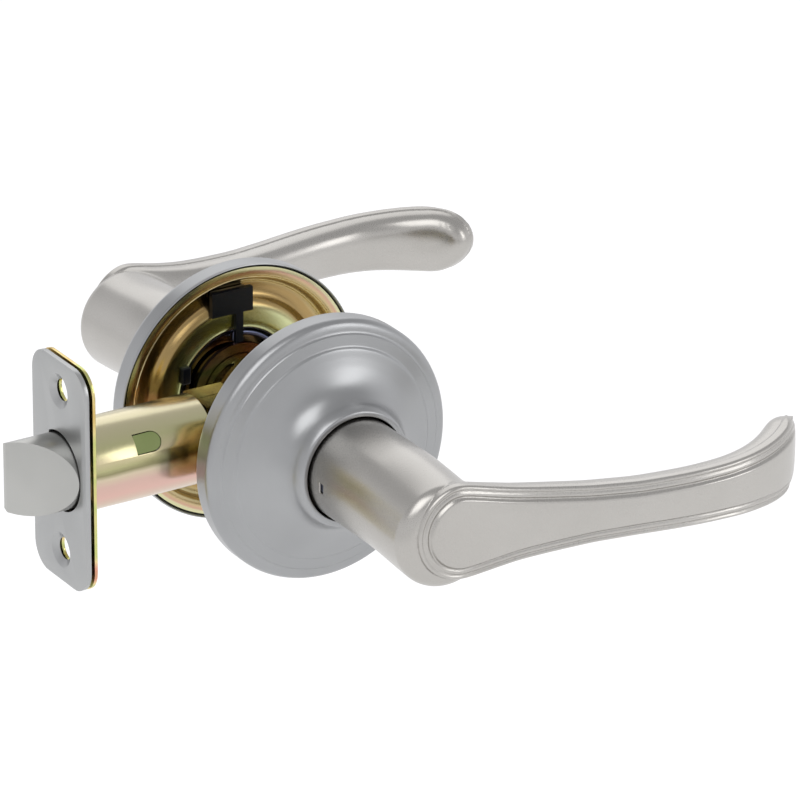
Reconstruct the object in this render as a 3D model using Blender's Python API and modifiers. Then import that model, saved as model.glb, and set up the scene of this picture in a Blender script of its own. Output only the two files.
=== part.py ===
"""Tubular lever lockset for a 35 mm door, passage type: two lever trims and a sprung latch.

Metres, +Z up. The origin is where the spindle axis (Y) crosses the latch axis (X), at the middle of
the door. The levers point to +X and the latch bolt to -X. The outside trim is at -Y.
"""

import math

import bmesh
import bpy
from mathutils import Matrix, Vector

MM = 0.001

# Driving dimensions, in millimetres.
DOOR = 35.0
BACKSET = 60.3
THROW = 12.7
TURN = math.radians(55)
GAP = 0.3

ROSETTE_R = 33.2
ROSETTE_WALL = 1.1
SHANK_R = 12.8
SHANK_START = 14.2
COLLAR_R = 13.6
COLLAR_W = 18.3
LEVER_FRONT, LEVER_BACK = 3.3, 6.0
LEVER_SHOULDER = 4.0

SLEEVE_R = 9.7
SLEEVE_BORE = 8.2
SLEEVE_END = 40.0
WEB_FROM, WEB_TO = 9.0, 17.0
SPINDLE = 6.35
SPINDLE_END = 33.5
CATCH_W = 23.5

POST_X = 19.6
POST_R = 2.4
SCREW_R = 1.5

PLATE_Y, PLATE_Z, PLATE_T = 25.4, 57.15, 1.2
PLATE_CORNER = 6.35
PLATE_GAP = 0.9
BACK_PLATE_T = 0.8
PLATE_HOLES = 41.3
TUBE_R, TUBE_WALL = 11.0, 0.9
TUBE_END = -23.4
BOLT_R, BOLT_FLAT = 9.5, 4.4
BOLT_TAIL = -50.5
BAR_Y = 0.7
CAM_R = 6.2
LOBE_HALF = 0.9
HOOK_LOW, HOOK_HIGH = 10.6, 11.7
CASE_Y = 5.6
CASE_R = 16.2
CASE_WALL = 0.7
NECK_Z = 10.0

# The lobe tip travels a chord of one bolt throw while the levers turn through TURN.
LOBE_L = THROW / (2 * math.sin(TURN / 2))

ROUND = 36
SMALL = 20


def clear_scene():
    for obj in list(bpy.data.objects):
        bpy.data.objects.remove(obj, do_unlink=True)


clear_scene()
parts = bpy.data.collections.new("lever_lockset")
cutters = bpy.data.collections.new("cutters")
bpy.context.scene.collection.children.link(parts)
bpy.context.scene.collection.children.link(cutters)


# ---------------------------------------------------------------- materials


def material(name, colour, roughness, metallic):
    mat = bpy.data.materials.new(name)
    mat.use_nodes = True
    shader = mat.node_tree.nodes["Principled BSDF"]
    shader.inputs["Base Color"].default_value = (*colour, 1)
    shader.inputs["Roughness"].default_value = roughness
    shader.inputs["Metallic"].default_value = metallic
    return mat


NICKEL = material("satin_nickel", (0.60, 0.58, 0.55), 0.34, 1.0)
ROSE = material("satin_rosette", (0.58, 0.58, 0.59), 0.30, 1.0)
PLATE = material("satin_plate", (0.55, 0.57, 0.60), 0.38, 1.0)
BOLT = material("bolt_nickel", (0.68, 0.66, 0.62), 0.36, 1.0)
CHROMATE = material("yellow_zinc", (0.62, 0.52, 0.28), 0.30, 1.0)
BLACK = material("black_plastic", (0.02, 0.02, 0.025), 0.45, 0.0)
SPRING = material("dark_spring_steel", (0.10, 0.11, 0.15), 0.32, 1.0)
STEEL = material("bright_steel", (0.66, 0.66, 0.68), 0.28, 1.0)


# ---------------------------------------------------------------- shape helpers


def place(mesh, name, mat=None, parent=None):
    """One object of the part, or a hidden cutter where it has no material."""
    obj = bpy.data.objects.new(name, mesh)
    (parts if mat else cutters).objects.link(obj)
    obj.parent = parent
    if mat:
        mesh.materials.append(mat)
        mesh.shade_smooth()
        mesh.set_sharp_from_angle(angle=math.radians(35))
    else:
        obj.hide_render = True
        obj.display_type = "WIRE"
    return obj


def mesh_of(bm, name):
    bmesh.ops.recalc_face_normals(bm, faces=bm.faces)
    mesh = bpy.data.meshes.new(name)
    bm.to_mesh(mesh)
    bm.free()
    return mesh


def box(name, low, high, mat=None, parent=None):
    low = Vector(low)
    high = Vector(high)
    bm = bmesh.new()
    size = Matrix.Diagonal((*((high - low) * MM), 1))
    bmesh.ops.create_cube(bm, size=1, matrix=Matrix.Translation((low + high) / 2 * MM) @ size)
    return place(mesh_of(bm, name), name, mat, parent)


def cylinder(name, start, end, radius, mat=None, parent=None, end_radius=None, sides=SMALL):
    """A cylinder or cone from one point to another."""
    start = Vector(start) * MM
    end = Vector(end) * MM
    along = end - start
    turn = along.to_track_quat("Z", "Y").to_matrix().to_4x4()
    bm = bmesh.new()
    bmesh.ops.create_cone(
        bm,
        cap_ends=True,
        segments=sides,
        radius1=radius * MM,
        radius2=(radius if end_radius is None else end_radius) * MM,
        depth=along.length,
        matrix=Matrix.Translation((start + end) / 2) @ turn,
    )
    return place(mesh_of(bm, name), name, mat, parent)


def turned(name, profile, mat=None, parent=None, steps=ROUND, closed=True):
    """A profile of (radius, height) points turned about local Z; it runs down its outer side."""
    mesh = bpy.data.meshes.new(name)
    last = len(profile) - 1
    edges = [(i, i + 1) for i in range(last)]
    if closed:
        edges.append((last, 0))
    mesh.from_pydata([(r * MM, 0, w * MM) for r, w in profile], edges, [])
    obj = place(mesh, name, mat, parent)
    screw = obj.modifiers.new("turn", "SCREW")
    screw.steps = steps
    screw.render_steps = steps
    screw.use_merge_vertices = True
    screw.merge_threshold = 0.0001
    screw.use_smooth_shade = True
    return obj


def combine(obj, other, operation):
    boolean = obj.modifiers.new(other.name, "BOOLEAN")
    boolean.operation = operation
    boolean.solver = "EXACT"
    boolean.object = other
    return obj


def cut(obj, *others):
    for other in others:
        combine(obj, other, "DIFFERENCE")
    return obj


def fuse(obj, *others):
    for other in others:
        combine(obj, other, "UNION")
    return obj


def prism(name, outline, low, high, mat=None, axis="Y"):
    """A closed outline of (x, z) or (y, z) points, extruded along Y or X."""
    bm = bmesh.new()
    if axis == "Y":
        corners = [bm.verts.new((a * MM, low * MM, b * MM)) for a, b in outline]
        step = Vector((0, (high - low) * MM, 0))
    else:
        corners = [bm.verts.new((low * MM, a * MM, b * MM)) for a, b in outline]
        step = Vector(((high - low) * MM, 0, 0))
    face = bm.faces.new(corners)
    grown = bmesh.ops.extrude_face_region(bm, geom=[face])
    moved = [item for item in grown["geom"] if isinstance(item, bmesh.types.BMVert)]
    bmesh.ops.translate(bm, verts=moved, vec=step)
    return place(mesh_of(bm, name), name, mat)


def wire(name, points, radius, mat, parent=None):
    """A round wire through the points, as a closed mesh."""
    curve = bpy.data.curves.new(name, "CURVE")
    curve.dimensions = "3D"
    curve.bevel_depth = radius * MM
    curve.bevel_resolution = 1
    curve.use_fill_caps = True
    spline = curve.splines.new("POLY")
    spline.points.add(len(points) - 1)
    for point, (x, y, z) in zip(spline.points, points):
        point.co = (x * MM, y * MM, z * MM, 1)
    guide = bpy.data.objects.new(name + "_guide", curve)
    parts.objects.link(guide)
    bpy.context.view_layer.update()
    graph = bpy.context.evaluated_depsgraph_get()
    mesh = bpy.data.meshes.new_from_object(guide.evaluated_get(graph))
    bpy.data.objects.remove(guide)
    bm = bmesh.new()
    bm.from_mesh(mesh)
    bmesh.ops.remove_doubles(bm, verts=bm.verts, dist=0.00001)
    bm.to_mesh(mesh)
    bm.free()
    mesh.name = name
    mesh.materials.clear()
    return place(mesh, name, mat, parent)


def arc(cx, cy, radius, start, end, count):
    """Points along an arc, angles in degrees."""
    found = []
    for i in range(count + 1):
        angle = math.radians(start + (end - start) * i / count)
        found.append((cx + radius * math.cos(angle), cy + radius * math.sin(angle)))
    return found


def between(points, value):
    """Smooth (Catmull-Rom) reading of a list of (key, value...) rows at a key."""
    keys = [row[0] for row in points]
    value = min(max(value, keys[0]), keys[-1])
    i = max(j for j in range(len(keys) - 1) if keys[j] <= value)
    before = points[max(i - 1, 0)]
    first, second = points[i], points[i + 1]
    after = points[min(i + 2, len(points) - 1)]
    span = second[0] - first[0]
    t = (value - first[0]) / span
    found = []
    for b, p, q, a in zip(before[1:], first[1:], second[1:], after[1:]):
        m0 = (q - b) * span / (second[0] - before[0])
        m1 = (a - p) * span / (after[0] - first[0])
        found.append(
            (2 * t**3 - 3 * t**2 + 1) * p
            + (t**3 - 2 * t**2 + t) * m0
            + (3 * t**2 - 2 * t**3) * q
            + (t**3 - t**2) * m1
        )
    return found


# ---------------------------------------------------------------- lever trims

# Middle of the lever: place along it (0 at the spindle axis, 1 at the tip), x, height off the
# door, and how far it sags below the spindle axis.
LEVER_PATH = [
    (-0.066, -7.85, 58.1, 0.0),
    (0.0, 0.0, 58.6, 0.0),
    (0.07, 8.5, 59.1, 0.7),
    (0.15, 18.0, 60.4, 1.0),
    (0.30, 36.0, 64.2, 1.3),
    (0.42, 50.0, 67.4, 1.4),
    (0.55, 65.0, 69.4, 1.45),
    (0.68, 78.0, 68.7, 1.5),
    (0.79, 88.0, 65.0, 1.5),
    (0.89, 95.6, 59.1, 1.2),
    (1.0, 100.8, 52.2, 0.3),
]
# Half-height of the lever at places along it.
LEVER_HALF = [
    (-0.066, 0.8),
    (-0.062, 4.0),
    (-0.05, 6.8),
    (-0.03, 9.3),
    (0.0, 11.2),
    (0.035, 11.9),
    (0.07, 11.2),
    (0.10, 10.5),
    (0.15, 9.4),
    (0.22, 8.4),
    (0.30, 7.4),
    (0.40, 6.9),
    (0.51, 7.0),
    (0.60, 7.2),
    (0.70, 7.7),
    (0.80, 8.4),
    (0.90, 8.8),
    (0.93, 8.2),
    (0.96, 6.8),
    (0.98, 5.2),
    (0.99, 3.8),
    (1.0, 0.8),
]
# How far the front and the back stand off the middle.
LEVER_DEPTHS = [
    (-0.066, LEVER_FRONT, LEVER_BACK),
    (0.82, LEVER_FRONT, LEVER_BACK),
    (0.90, 2.9, 5.8),
    (0.97, 1.9, 5.4),
    (1.0, 1.8, 5.3),
]
LEVER_STATIONS = 28
FRONT_CORNER, BACK_CORNER = 1.5, 3.2


def lever_section(place_along, up):
    """A section across the lever with small corners in front and wide ones behind."""
    x, w, sag = between(LEVER_PATH, place_along)
    ahead = between(LEVER_PATH, min(place_along + 0.01, 1))
    behind = between(LEVER_PATH, max(place_along - 0.01, LEVER_PATH[0][0]))
    along = Vector((ahead[0] - behind[0], 0, ahead[1] - behind[1])).normalized()
    out = Vector((-along.z, 0, along.x))
    (half,) = between(LEVER_HALF, place_along)
    front, back = between(LEVER_DEPTHS, place_along)
    middle = Vector((x, -up * sag, w))
    ring = []
    for quarter, (sy, sw) in enumerate(((1, 1), (-1, 1), (-1, -1), (1, -1))):
        depth = front if sw > 0 else back
        corner = min(FRONT_CORNER if sw > 0 else BACK_CORNER, half * 0.8)
        for u, v in arc(0, 0, corner, 90 * quarter, 90 * quarter + 90, 2):
            across = sy * (half - corner) + u
            ring.append(middle + Vector((0, across, 0)) + out * (sw * (depth - corner) + v))
    return ring


def lever_paddle(name, parent, up):
    bm = bmesh.new()
    rings = []
    start = LEVER_PATH[0][0]
    for i in range(LEVER_STATIONS):
        # Stations crowd towards both rounded ends.
        share = 0.5 - 0.5 * math.cos(math.pi * i / (LEVER_STATIONS - 1))
        ring = lever_section(start + (1 - start) * share, up)
        rings.append([bm.verts.new(point * MM) for point in ring])
    for first, second in zip(rings, rings[1:]):
        for i in range(len(first)):
            j = (i + 1) % len(first)
            bm.faces.new((first[i], first[j], second[j], second[i]))
    bm.faces.new(rings[0])
    bm.faces.new(rings[-1])
    bmesh.ops.triangulate(bm, faces=bm.faces)
    return place(mesh_of(bm, name), name, None, parent)


def lever(name, parent, up):
    """Cast lever: a round shank with a soft shoulder, and a paddle that curls back to the door."""
    top = LEVER_PATH[1][2] + 2.0
    edge = SHANK_R - LEVER_SHOULDER
    profile = [(0, top)]
    profile += arc(edge, top - LEVER_SHOULDER, LEVER_SHOULDER, 90, 0, 4)
    profile += [(SHANK_R, SHANK_START + 0.6), (SHANK_R - 0.5, SHANK_START), (0, SHANK_START)]
    obj = turned(name, profile, NICKEL, parent, closed=False)
    fuse(obj, lever_paddle(name + "_paddle", parent, up))
    bore = cylinder(name + "_bore", (0, 0, 5), (0, 0, 42), SLEEVE_R + GAP, None, parent, None, ROUND)
    hole = box(name + "_hole", (-20, -1.3, CATCH_W - 0.9), (-5, 1.3, CATCH_W + 0.9), None, parent)
    return cut(obj, bore, hole)


def rosette(name, parent):
    """Spun cover: wall, shoulder, small step, flat ring, fine groove, dome and collar."""
    profile = [(COLLAR_R, COLLAR_W - 1.3), (COLLAR_R + 0.4, COLLAR_W - 0.2)]
    profile += [(14.6, COLLAR_W), (15.5, COLLAR_W - 0.6)]
    profile += [(16.5, 15.4), (18.4, 12.5), (21.0, 10.1), (24.0, 8.5), (26.5, 7.7)]
    profile += [(30.0, 7.0), (30.6, 6.4), (31.9, 5.9), (32.9, 4.8), (ROSETTE_R, 3.4)]
    profile += [(ROSETTE_R, 0)]
    obj = turned(name, profile, ROSE, parent, closed=False)
    skin = obj.modifiers.new("sheet", "SOLIDIFY")
    skin.thickness = ROSETTE_WALL * MM
    skin.offset = -1
    return obj


def liner(name, parent, hole_r):
    """Pressed mounting plate: rim, channel, raised rib, spring well and hub."""
    profile = [(10.1, 12.0), (11.2, 12.0), (11.2, 8.6), (15.4, 8.6), (16.3, 7.6)]
    profile += [(16.3, 3.4), (22.3, 3.4), (23.6, 4.9), (28.6, 4.9), (29.9, 3.6), (30.1, 2.0)]
    profile += [(31.6, 1.7), (31.6, 0.6), (29.6, 0.6), (28.8, 1.6), (28.6, 3.3), (27.8, 3.8)]
    profile += [(24.6, 3.8), (23.4, 3.0), (22.4, 2.2), (16.2, 2.2), (15.5, 3.0), (15.5, 7.4)]
    profile += [(10.1, 7.4)]
    obj = turned(name, profile, CHROMATE, parent)
    for side in (-1, 1):
        x = side * POST_X
        drill = cylinder(f"{name}_hole{side}", (x, 0, -1), (x, 0, 10), hole_r, None, parent, sides=16)
        cut(obj, drill)
    return obj


def sleeve(name, parent):
    """Drive sleeve: a tube with a web that grips the square spindle."""
    profile = [(SLEEVE_BORE, SLEEVE_END), (SLEEVE_R, SLEEVE_END), (SLEEVE_R, 0.9)]
    profile += [(SLEEVE_BORE, 0.9), (SLEEVE_BORE, WEB_FROM), (3, WEB_FROM), (3, WEB_TO)]
    profile += [(SLEEVE_BORE, WEB_TO)]
    obj = turned(name, profile, CHROMATE, parent)
    half = SPINDLE / 2 + GAP
    socket = box(name + "_socket", (-half, -half, 0), (half, half, WEB_TO + 3), None, parent)
    slot = box(name + "_slot", (-20, -1.3, CATCH_W - 0.9), (-5, 1.3, CATCH_W + 0.9), None, parent)
    return cut(obj, socket, slot)


def driver_plate(name, parent, up):
    """Sheet ring keyed on the sleeve, with the ear that winds the return spring."""
    inner = SLEEVE_R + GAP
    ring = [(inner, 2.2), (12.4, 2.2), (12.4, 1.1), (inner, 1.1)]
    obj = turned(name, ring, CHROMATE, parent)
    low, high = sorted((-up * 11.4, -up * 16.2))
    ear = box(name + "_ear", (-2.4, low, 1.1), (2.4, high, 2.2), None, parent)
    return fuse(obj, ear)


def return_spring(name, parent, up):
    """Torsion coil round the hub, with a leg at each end."""
    radius, turns, low, high = 14.4, 2.0, 3.2, 6.5
    count = 36
    points = []
    for i in range(count + 1):
        angle = math.radians(90 * up) + math.tau * turns * (i / count - 0.5)
        height = low + (high - low) * i / count
        points.append((radius * math.cos(angle), radius * math.sin(angle), height))
    for end, before in ((0, -1), (len(points) - 1, 1)):
        x, y, z = points[end]
        leg = (x * 0.86, y * 0.86, z)
        points.insert(0 if before < 0 else len(points), leg)
    return wire(name, points, 0.6, SPRING, parent)


def stop_block(name, parent, up):
    """Plastic block over the rib at the top, with the arm that holds the spring's fixed legs."""
    low, high = sorted((up * 20.8, up * 27.0))
    obj = box(name, (-7.6, low, 0.5), (3.8, high, 1.9), BLACK, parent)
    low, high = sorted((up * 13.0, up * 21.5))
    arm = box(name + "_arm", (-1.0, low, 0.5), (1.1, high, 1.7), None, parent)
    low, high = sorted((up * 24.9, up * 26.6))
    foot = box(name + "_foot", (-6.6, low, 1.4), (2.8, high, 3.5), None, parent)
    return fuse(obj, arm, foot)


def retaining_ring(name, parent):
    inner = SLEEVE_R + GAP
    ring = [(inner, 13.4), (11.9, 13.4), (11.9, 12.4), (inner, 12.4)]
    obj = turned(name, ring, STEEL, parent)
    mouth = box(name + "_mouth", (-1.6, -14, 11), (1.6, 0, 15), None, parent)
    return cut(obj, mouth)


def lever_catch(name, parent):
    """Sprung catch: its nose sits in the lever's release hole."""
    obj = box(name, (-12.3, -1.0, CATCH_W - 0.6), (-6.0, 1.0, CATCH_W + 0.6), STEEL, parent)
    foot = box(name + "_foot", (-7.4, -2.2, CATCH_W - 1.8), (-6.0, 2.2, CATCH_W + 1.8), None, parent)
    return fuse(obj, foot)


def catch_spring(name, parent):
    turns, radius, count = 4, 1.7, 32
    low, high = -5.2, 7.4
    points = []
    for i in range(count + 1):
        angle = math.tau * turns * i / count
        x = low + (high - low) * i / count
        points.append((x, radius * math.cos(angle), CATCH_W + radius * math.sin(angle)))
    return wire(name, points, 0.3, STEEL, parent)


def trim(side, name):
    """All the pieces of one side. Local Z is the height off the door, local Y is up or down."""
    frame = bpy.data.objects.new(name + "_trim", None)
    parts.objects.link(frame)
    frame.location = (0, side * DOOR / 2 * MM, 0)
    frame.rotation_euler = (-side * math.pi / 2, 0, 0)
    up = -side
    lever(name + "_lever", frame, up)
    rosette(name + "_rosette", frame)
    liner(name + "_liner", frame, POST_R + GAP if side < 0 else SCREW_R + GAP)
    sleeve(name + "_drive_sleeve", frame)
    driver_plate(name + "_driver_plate", frame, up)
    return_spring(name + "_return_spring", frame, up)
    stop_block(name + "_stop_block", frame, up)
    retaining_ring(name + "_retaining_ring", frame)
    lever_catch(name + "_lever_catch", frame)
    catch_spring(name + "_catch_spring", frame)


# ---------------------------------------------------------------- fasteners and spindle


def fasteners():
    seat = DOOR / 2 + 3.4 + GAP
    post_end = 9.0
    for side, where in ((-1, "left"), (1, "right")):
        x = side * POST_X
        post = cylinder(f"post_{where}", (x, -seat - 0.5, 0), (x, post_end, 0), POST_R, CHROMATE)
        head = cylinder(f"post_{where}_head", (x, -seat - 1.6, 0), (x, -seat, 0), 2.9)
        bore = cylinder(f"post_{where}_bore", (x, -9, 0), (x, post_end + 2, 0), SCREW_R + GAP)
        cut(fuse(post, head), bore)
        screw = cylinder(f"screw_{where}", (x, -6, 0), (x, seat + 0.5, 0), SCREW_R, CHROMATE)
        cap = cylinder(f"screw_{where}_cap", (x, seat, 0), (x, seat + 2.2, 0), 2.9, end_radius=2.2)
        slot = box(
            f"screw_{where}_slot", (x - 0.5, seat + 1.1, -2.0), (x + 0.5, seat + 5, 2.0)
        )
        cross = box(
            f"screw_{where}_cross", (x - 2.0, seat + 1.1, -0.5), (x + 2.0, seat + 5, 0.5)
        )
        cut(fuse(screw, cap), slot, cross)


def spindle():
    half = SPINDLE / 2
    box("spindle", (-half, -SPINDLE_END, -half), (half, SPINDLE_END, half), STEEL)


# ---------------------------------------------------------------- latch


def plate_outline():
    """Rounded rectangle in (y, z)."""
    y = PLATE_Y / 2 - PLATE_CORNER
    z = PLATE_Z / 2 - PLATE_CORNER
    outline = []
    for cy, cz, start in ((y, z, 0), (-y, z, 90), (-y, -z, 180), (y, -z, 270)):
        outline += arc(cy, cz, PLATE_CORNER, start, start + 90, 6)
    return outline


def d_outline(radius, flat):
    """A circle in (y, z) cut off at y = flat."""
    start = math.degrees(math.acos(flat / radius))
    return arc(0, 0, radius, start, 360 - start, 30)


def plates():
    front = -BACKSET
    back = front + PLATE_T + PLATE_GAP
    for name, low, thick, hole, mat in (
        ("latch_faceplate", front, PLATE_T, 2.6, PLATE),
        ("latch_backplate", back, BACK_PLATE_T, 3.4, CHROMATE),
    ):
        obj = prism(name, plate_outline(), low, low + thick, mat, "X")
        for side in (-1, 1):
            z = side * PLATE_HOLES / 2
            cut(obj, cylinder(f"{name}_hole{side}", (low - 1, 0, z), (low + 3, 0, z), hole))
            if name == "latch_faceplate":
                ends = (low - 0.5, 0, z), (low + 1.6, 0, z)
                cut(obj, cylinder(f"{name}_sink{side}", *ends, 5.2, end_radius=2.2))
        if name == "latch_faceplate":
            outline = d_outline(BOLT_R + 2 * GAP, BOLT_FLAT + 2 * GAP)
            cut(obj, prism(name + "_bolt_hole", outline, low - 1, low + 3, axis="X"))
        else:
            ends = (low - 1, 0, 0), (low + 3, 0, 0)
            cut(obj, cylinder(name + "_tube_hole", *ends, TUBE_R + GAP, sides=ROUND))


def along_latch(profile):
    """(x, radius) rows turned into a (radius, height) profile for a frame whose Z is +X."""
    return [(radius, x) for x, radius in profile]


def latch():
    frame = bpy.data.objects.new("latch_axis", None)
    parts.objects.link(frame)
    frame.rotation_euler = (0, math.pi / 2, 0)
    front = -BACKSET + PLATE_T + GAP
    inner = TUBE_R - TUBE_WALL
    tube = [(TUBE_END, inner), (TUBE_END, TUBE_R), (front, TUBE_R), (front, inner)]
    turned("latch_tube", along_latch(tube), CHROMATE, frame)
    seat = [(TUBE_END - 0.6, 7.8), (TUBE_END - 0.6, inner - GAP)]
    seat += [(TUBE_END - 1.6, inner - GAP), (TUBE_END - 1.6, 7.8)]
    turned("spring_seat", along_latch(seat), STEEL, frame)
    bolt()
    bolt_spring()
    drawbar()
    cam()
    case()


def bolt():
    """D-section bolt with one sloping face, hollow behind for the drawbar's head."""
    nose = -BACKSET - THROW
    obj = prism("latch_bolt", d_outline(BOLT_R, BOLT_FLAT), nose, BOLT_TAIL, BOLT, "X")
    back = -BACKSET + 0.6
    slope = [(nose - 1.0, BOLT_FLAT - 0.4), (back, -BOLT_R - 0.6), (nose - 8, -BOLT_R - 8)]
    bm = bmesh.new()
    ends = []
    for z in (-15, 15):
        ends.append([bm.verts.new((x * MM, y * MM, z * MM)) for x, y in slope])
    bm.faces.new(ends[0])
    bm.faces.new(ends[1])
    for i in range(3):
        j = (i + 1) % 3
        bm.faces.new((ends[0][i], ends[0][j], ends[1][j], ends[1][i]))
    wedge = place(mesh_of(bm, "latch_bolt_slope"), "latch_bolt_slope")
    wide = BAR_Y + 0.35
    pocket = box("latch_bolt_pocket", (-67.2, -wide, -6.0), (BOLT_TAIL - 1.5, wide, 6.0))
    mouth = box("latch_bolt_mouth", (-60, -wide, -3.6), (BOLT_TAIL + 1, wide, 3.6))
    return cut(obj, wedge, pocket, mouth)


def bolt_spring():
    turns, radius, count = 5, 8.7, 60
    low, high = BOLT_TAIL + 0.9, TUBE_END - 2.5
    points = []
    for i in range(count + 1):
        angle = math.tau * turns * i / count
        x = low + (high - low) * i / count
        points.append((x, radius * math.cos(angle), radius * math.sin(angle)))
    return wire("bolt_spring", points, 0.5, STEEL)


def drawbar():
    """Flat bar from the bolt to the cam, open round the left post and round the cam's hub."""
    hook = LOBE_HALF / math.cos(TURN / 2) - HOOK_LOW * math.tan(TURN / 2) + GAP
    end = hook + 1.3
    spans = [
        ("neck", (-52.6, -37.0), (-3.2, 3.2)),
        ("bridge", (-37.2, -35.1), (-7.2, 7.2)),
        ("rail_low", (-35.3, -19.0), (-7.2, -3.3)),
        ("rail_high", (-35.3, -19.0), (3.3, 7.2)),
        ("fork_low", (-21.0, end), (-8.8, -6.7)),
        ("fork_high", (-21.0, end), (6.7, 8.8)),
    ]
    obj = box("drawbar", (-54.0, -BAR_Y, -5.4), (-52.4, BAR_Y, 5.4), CHROMATE)
    for name, (x0, x1), (z0, z1) in spans:
        fuse(obj, box("drawbar_" + name, (x0, -BAR_Y, z0), (x1, BAR_Y, z1)))
    for side in (-1, 1):
        low, high = sorted((side * 8.4, side * HOOK_HIGH))
        fuse(obj, box(f"drawbar_arm{side}", (hook, -BAR_Y, low), (end, BAR_Y, high)))
        low, high = sorted((side * HOOK_LOW, side * HOOK_HIGH))
        fuse(obj, box(f"drawbar_hook{side}", (hook, -BAR_Y, low), (end, 3.6, high)))
    return obj


def cam():
    """Hub on the spindle with two lobes; each pulls the drawbar for one way of turning."""
    obj = cylinder("latch_cam", (0, -5.3, 0), (0, 5.3, 0), CAM_R, STEEL, sides=36)
    for side in (-1, 1):
        lobe = box(f"latch_cam_lobe{side}", (-LOBE_HALF, 1.1, 3.5), (LOBE_HALF, 3.7, LOBE_L + 0.6))
        lobe.rotation_euler = (0, -TURN / 2 if side > 0 else math.pi + TURN / 2, 0)
        fuse(obj, lobe)
    half = SPINDLE / 2 + GAP
    return cut(obj, box("latch_cam_socket", (-half, -10, -half), (half, 10, half)))


def case_outline(radius, neck, left):
    """Neck and round end in (x, z)."""
    start = math.degrees(math.asin(neck / radius))
    outline = arc(0, 0, radius, 180 - start, start - 180, 40)
    return [(left, neck)] + outline + [(left, -neck)]


def case():
    """Two dished halves round the cam, meeting at the middle of the door."""
    left = TUBE_END + GAP
    for side, where in ((-1, "near"), (1, "far")):
        low, high = sorted((side * GAP / 2, side * CASE_Y))
        obj = prism(f"cam_case_{where}", case_outline(CASE_R, NECK_Z, left), low, high, CHROMATE)
        low, high = sorted((-side * 2, side * (CASE_Y - 1.0)))
        inner = case_outline(CASE_R - CASE_WALL, NECK_Z - CASE_WALL, left - 3)
        hollow = prism(f"cam_case_{where}_hollow", inner, low, high)
        hub = cylinder(f"cam_case_{where}_hub", (0, -9, 0), (0, 9, 0), CAM_R + GAP, sides=36)
        hole = cylinder(f"cam_case_{where}_hole", (-POST_X, -9, 0), (-POST_X, 9, 0), POST_R + 0.4)
        cut(obj, hollow, hub, hole)


trim(-1, "outside")
trim(1, "inside")
fasteners()
spindle()
plates()
latch()
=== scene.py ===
"""Looks of the lever lockset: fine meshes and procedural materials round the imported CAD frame.

Metres, +Z up, in the CAD's frame. Each trim is made in side coordinates, in millimetres: x along the
door, y up or down, z the height off the door. The functions that build the trims place them.
"""

import math

import bmesh
import bpy
import numpy as np
from mathutils import Matrix, Vector


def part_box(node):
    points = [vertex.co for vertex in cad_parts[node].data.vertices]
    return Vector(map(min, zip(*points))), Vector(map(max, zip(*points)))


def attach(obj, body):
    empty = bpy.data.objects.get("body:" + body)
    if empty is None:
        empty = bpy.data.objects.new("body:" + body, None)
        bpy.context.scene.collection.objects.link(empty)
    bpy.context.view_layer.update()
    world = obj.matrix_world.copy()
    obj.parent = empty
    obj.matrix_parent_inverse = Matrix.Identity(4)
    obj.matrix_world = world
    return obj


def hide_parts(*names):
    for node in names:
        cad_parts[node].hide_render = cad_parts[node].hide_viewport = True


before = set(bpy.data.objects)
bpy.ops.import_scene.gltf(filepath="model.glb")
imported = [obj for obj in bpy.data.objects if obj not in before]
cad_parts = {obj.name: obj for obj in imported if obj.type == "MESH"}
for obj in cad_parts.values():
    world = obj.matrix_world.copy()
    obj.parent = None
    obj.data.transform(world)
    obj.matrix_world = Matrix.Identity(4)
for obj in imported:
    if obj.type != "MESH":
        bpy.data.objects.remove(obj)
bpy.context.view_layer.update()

MM = 0.001
SIDES = ((-1, "outside"), (1, "inside"))
DOOR_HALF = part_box("outside_rosette")[1][1] / -MM
ROSETTE_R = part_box("outside_rosette")[1][0] / MM
PLATE_LOW, PLATE_HIGH = (Vector(corner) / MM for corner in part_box("latch_faceplate"))
BACK_LOW, BACK_HIGH = (Vector(corner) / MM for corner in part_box("latch_backplate"))
TUBE_LOW, TUBE_HIGH = (Vector(corner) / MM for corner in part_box("latch_tube"))
BOLT_LOW, BOLT_HIGH = (Vector(corner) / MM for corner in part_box("latch_bolt"))


# ---------------------------------------------------------------- camera, floor and light

CAMERA_AT = (-0.70471, -1.17435, 0.61179)
CAMERA_TO = (0.0260, -0.0140, 0.00379)
CAMERA_ROLL = math.radians(0.4065)
LENS_MM = 279.37
FLOOR_Z = -0.30
FLOOR_GLOW = 0.3
# Brightness of the studio at heights from the horizon (0) to overhead (1).
SKY_TONES = ((0.0, 0.95), (0.15, 0.95), (0.35, 0.85), (0.56, 0.62), (0.85, 0.6), (1.0, 0.6))
SKY_BLUE = 1.02
# Name, place, what it points at, size and power of each lamp.
LAMPS = (
    ("key", (-0.7, -0.5, 1.25), (0, 0, 0), (1.1, 1.1), 6.5),
    ("fill", (0.9, -1.1, 0.55), (0.02, 0, 0), (0.5, 0.8), 2.5),
    ("rim", (0.5, 1.1, 0.9), (0, 0, 0), (1.4, 0.9), 3),
)


def camera():
    data = bpy.data.cameras.new("camera")
    data.lens = LENS_MM
    data.sensor_width = 36
    data.clip_end = 50
    obj = bpy.data.objects.new("camera", data)
    bpy.context.scene.collection.objects.link(obj)
    look = Vector(CAMERA_TO) - Vector(CAMERA_AT)
    turn = look.to_track_quat("-Z", "Y").to_matrix() @ Matrix.Rotation(CAMERA_ROLL, 3, "Z")
    obj.matrix_world = Matrix.Translation(CAMERA_AT) @ turn.to_4x4()
    bpy.context.scene.camera = obj


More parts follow.
